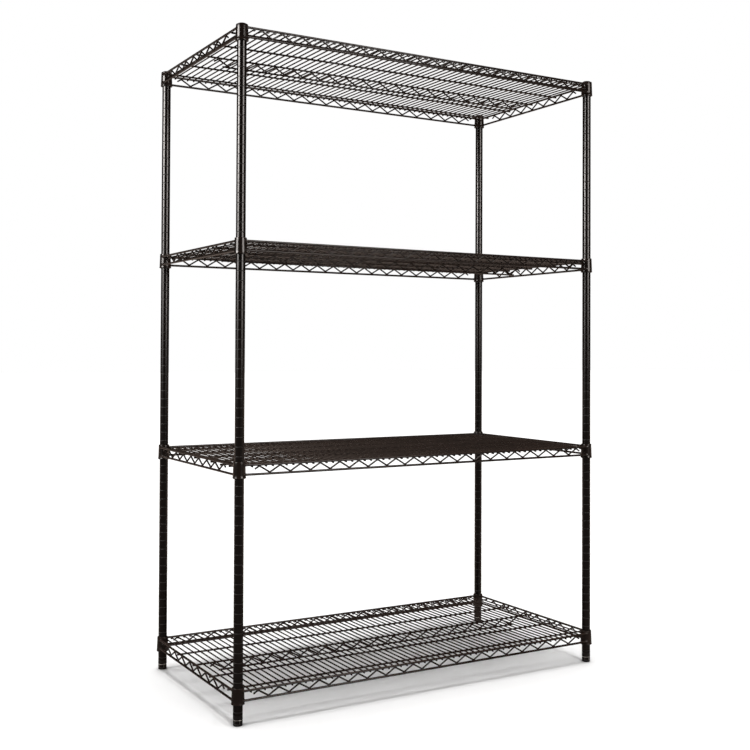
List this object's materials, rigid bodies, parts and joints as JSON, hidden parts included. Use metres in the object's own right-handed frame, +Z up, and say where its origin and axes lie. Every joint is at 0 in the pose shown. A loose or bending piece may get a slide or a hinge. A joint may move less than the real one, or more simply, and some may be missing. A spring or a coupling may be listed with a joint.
{
  "type": "wire shelving rack",
  "caption": "Free-standing wire shelving rack: tube posts carry welded open-wire shelves on tapered split sleeves and stand on screw-adjustable feet.",
  "frame": {"origin": "on the floor, under the middle of the rack", "axes": "+Z up, +X along the long side, -Y towards the front"},
  "size_m": [1.2188, 0.6098, 1.8288],
  "materials": {
    "post_coating": "glossy black epoxy powder coat",
    "shelf_coating": "glossy black epoxy powder coat over welded wire",
    "black_plastic": "moulded black plastic, satin",
    "foot_steel": "black-finished steel, satin, worn bright at the edges",
    "bright_zinc": "bright zinc plate"
  },
  "bodies": {
    "rack_frame": {"post_front_left": "post_coating", "post_front_right": "post_coating", "post_rear_left": "post_coating", "post_rear_right": "post_coating", "post_cap_front_left": "black_plastic", "post_cap_front_right": "black_plastic", "post_cap_rear_left": "black_plastic", "post_cap_rear_right": "black_plastic", "foot_insert_front_left": "bright_zinc", "foot_insert_front_right": "bright_zinc", "foot_insert_rear_left": "bright_zinc", "foot_insert_rear_right": "bright_zinc", "sleeve_1_front_left_left": "black_plastic", "sleeve_1_front_left_right": "black_plastic", "sleeve_1_front_right_left": "black_plastic", "sleeve_1_front_right_right": "black_plastic", "sleeve_1_rear_left_left": "black_plastic", "sleeve_1_rear_left_right": "black_plastic", "sleeve_1_rear_right_left": "black_plastic", "sleeve_1_rear_right_right": "black_plastic", "sleeve_2_front_left_left": "black_plastic", "sleeve_2_front_left_right": "black_plastic", "sleeve_2_front_right_left": "black_plastic", "sleeve_2_front_right_right": "black_plastic", "sleeve_2_rear_left_left": "black_plastic", "sleeve_2_rear_left_right": "black_plastic", "sleeve_2_rear_right_left": "black_plastic", "sleeve_2_rear_right_right": "black_plastic", "sleeve_3_front_left_left": "black_plastic", "sleeve_3_front_left_right": "black_plastic", "sleeve_3_front_right_left": "black_plastic", "sleeve_3_front_right_right": "black_plastic", "sleeve_3_rear_left_left": "black_plastic", "sleeve_3_rear_left_right": "black_plastic", "sleeve_3_rear_right_left": "black_plastic", "sleeve_3_rear_right_right": "black_plastic", "sleeve_4_front_left_left": "black_plastic", "sleeve_4_front_left_right": "black_plastic", "sleeve_4_front_right_left": "black_plastic", "sleeve_4_front_right_right": "black_plastic", "sleeve_4_rear_left_left": "black_plastic", "sleeve_4_rear_left_right": "black_plastic", "sleeve_4_rear_right_left": "black_plastic", "sleeve_4_rear_right_right": "black_plastic"},
    "bottom_shelf": {"shelf_1": "shelf_coating"},
    "lower_shelf": {"shelf_2": "shelf_coating"},
    "upper_shelf": {"shelf_3": "shelf_coating"},
    "top_shelf": {"shelf_4": "shelf_coating"},
    "glide_front_left": {"foot_glide_front_left": "black_plastic"},
    "glide_front_right": {"foot_glide_front_right": "black_plastic"},
    "glide_rear_left": {"foot_glide_rear_left": "black_plastic"},
    "glide_rear_right": {"foot_glide_rear_right": "black_plastic"},
    "foot_screw_front_left": {"leveling_foot_front_left": "foot_steel"},
    "foot_screw_front_right": {"leveling_foot_front_right": "foot_steel"},
    "foot_screw_rear_left": {"leveling_foot_rear_left": "foot_steel"},
    "foot_screw_rear_right": {"leveling_foot_rear_right": "foot_steel"}
  },
  "joints": [
    {"name": "bottom_shelf_lift", "type": "slide", "parent": "rack_frame", "child": "bottom_shelf", "axis": [0, 0, 1], "range_m": [0, 0.5]},
    {"name": "lower_shelf_lift", "type": "slide", "parent": "rack_frame", "child": "lower_shelf", "axis": [0, 0, 1], "range_m": [0, 0.5]},
    {"name": "upper_shelf_lift", "type": "slide", "parent": "rack_frame", "child": "upper_shelf", "axis": [0, 0, 1], "range_m": [0, 0.48]},
    {"name": "top_shelf_lift", "type": "slide", "parent": "rack_frame", "child": "top_shelf", "axis": [0, 0, 1], "range_m": [0, 0.12]},
    {"name": "foot_travel_front_left", "type": "slide", "parent": "rack_frame", "child": "glide_front_left", "axis": [0, 0, -1], "range_m": [0, 0.025]},
    {"name": "foot_turn_front_left", "type": "hinge", "parent": "glide_front_left", "child": "foot_screw_front_left", "pos_m": [-0.592, -0.2875, 0], "axis": [0, 0, -1], "range_deg": [0, 5670]},
    {"name": "foot_travel_front_right", "type": "slide", "parent": "rack_frame", "child": "glide_front_right", "axis": [0, 0, -1], "range_m": [0, 0.025]},
    {"name": "foot_turn_front_right", "type": "hinge", "parent": "glide_front_right", "child": "foot_screw_front_right", "pos_m": [0.592, -0.2875, 0], "axis": [0, 0, -1], "range_deg": [0, 5670]},
    {"name": "foot_travel_rear_left", "type": "slide", "parent": "rack_frame", "child": "glide_rear_left", "axis": [0, 0, -1], "range_m": [0, 0.025]},
    {"name": "foot_turn_rear_left", "type": "hinge", "parent": "glide_rear_left", "child": "foot_screw_rear_left", "pos_m": [-0.592, 0.2875, 0], "axis": [0, 0, -1], "range_deg": [0, 5670]},
    {"name": "foot_travel_rear_right", "type": "slide", "parent": "rack_frame", "child": "glide_rear_right", "axis": [0, 0, -1], "range_m": [0, 0.025]},
    {"name": "foot_turn_rear_right", "type": "hinge", "parent": "glide_rear_right", "child": "foot_screw_rear_right", "pos_m": [0.592, 0.2875, 0], "axis": [0, 0, -1], "range_deg": [0, 5670]}
  ],
  "couplings": [
    {"joint": "foot_turn_front_left", "follows": "foot_travel_front_left", "rad_per_m": 3957.9},
    {"joint": "foot_turn_front_right", "follows": "foot_travel_front_right", "rad_per_m": 3957.9},
    {"joint": "foot_turn_rear_left", "follows": "foot_travel_rear_left", "rad_per_m": 3957.9},
    {"joint": "foot_turn_rear_right", "follows": "foot_travel_rear_right", "rad_per_m": 3957.9}
  ]
}
